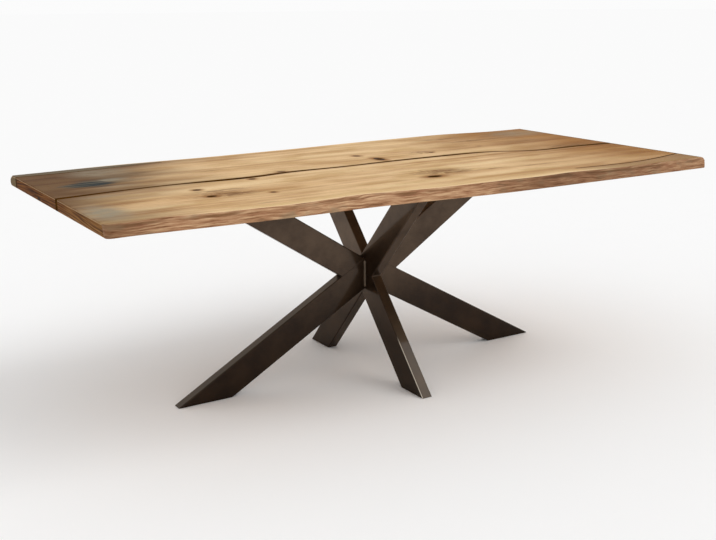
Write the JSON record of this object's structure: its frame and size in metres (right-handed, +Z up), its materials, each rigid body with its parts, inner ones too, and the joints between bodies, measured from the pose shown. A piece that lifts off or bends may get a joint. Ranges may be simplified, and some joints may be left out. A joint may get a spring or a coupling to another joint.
{
  "type": "dining table",
  "caption": "Rectangular dining table: thick live-edge boards with a dark filled joint, on a welded pedestal of crossed rectangular steel tubes.",
  "frame": {"origin": "on the floor, under the middle of the top's outline", "axes": "+X along the table to the right as seen from its front, +Y towards its back, +Z up"},
  "size_m": [2.24, 1.0986, 0.76],
  "materials": {
    "live_edge_wood": "oiled, satin",
    "dark_resin": "flush, satin",
    "tenon_wood": "raw",
    "zinc_steel": "zinc plated",
    "bronze_coat": "semi-gloss",
    "glide_plastic": "matte"
  },
  "bodies": {
    "root": {"front_slab": "live_edge_wood", "back_slab": "live_edge_wood", "joint_fill": "dark_resin", "front_crack_fill": "dark_resin", "back_crack_fill": "dark_resin", "knot_fills": "dark_resin", "joint_tenons": "tenon_wood", "left_top_plate": "bronze_coat", "right_top_plate": "bronze_coat", "front_top_plate": "bronze_coat", "back_top_plate": "bronze_coat", "left_leg": "bronze_coat", "right_leg": "bronze_coat", "left_arm": "bronze_coat", "right_arm": "bronze_coat", "front_leg": "bronze_coat", "back_leg": "bronze_coat", "front_arm": "bronze_coat", "back_arm": "bronze_coat", "hub_welds": "bronze_coat", "foot_caps": "bronze_coat", "floor_glides": "glide_plastic", "mounting_screws": "zinc_steel"}
  },
  "joints": []
}
